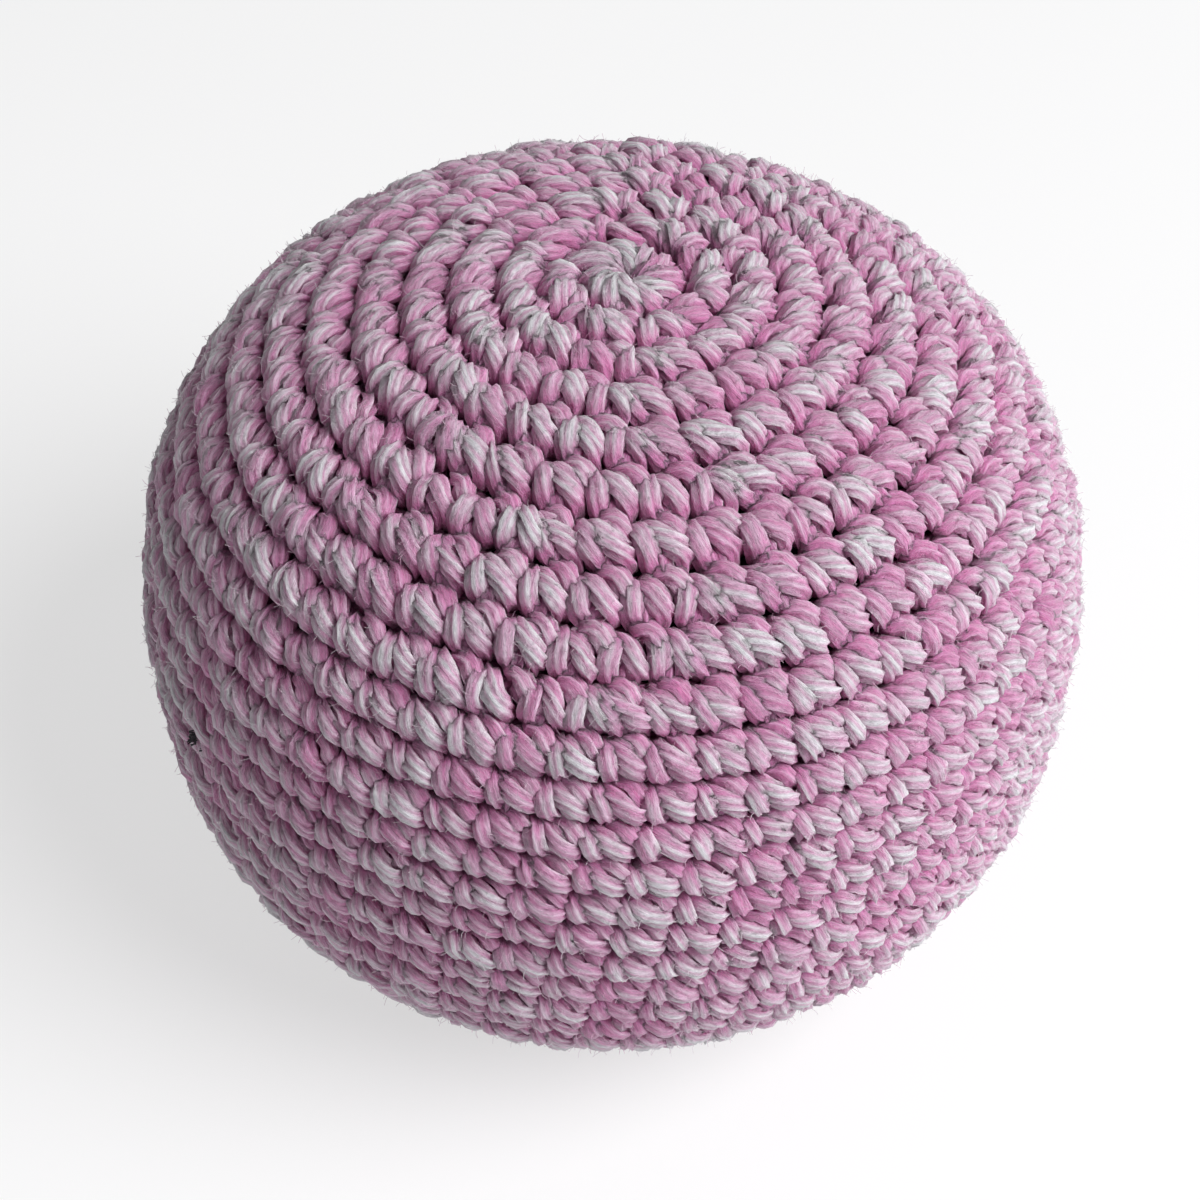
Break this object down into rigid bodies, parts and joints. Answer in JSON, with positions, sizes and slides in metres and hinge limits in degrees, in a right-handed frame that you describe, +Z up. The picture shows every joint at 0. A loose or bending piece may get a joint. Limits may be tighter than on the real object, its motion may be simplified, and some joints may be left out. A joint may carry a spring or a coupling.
{
  "type": "footbag",
  "caption": "Small crocheted cotton footbag: a slightly flattened ball with a dark cloth inner bag filled with loose pellets, for kicking, juggling and catching.",
  "frame": {"origin": "centre of the flat foot that the ball stands on, on the floor", "axes": "+Z up, along the ball's axis towards the ring that the crochet starts from; X and Y level; the picture is taken from -Y and above"},
  "size_m": [0.058, 0.058, 0.0473],
  "materials": {
    "variegated_cotton": "crocheted mercerised cotton yarn, pink and pale grey in short runs, soft sheen",
    "liner_cloth": "matt, fine dark woven cloth",
    "sewing_thread": "twisted dark sewing thread",
    "pellet_plastic": "smooth off-white pellets"
  },
  "bodies": {
    "root": {"crochet_cover": "variegated_cotton", "liner_bag": "liner_cloth", "liner_tie": "sewing_thread", "pellet_filling": "pellet_plastic"}
  },
  "joints": []
}
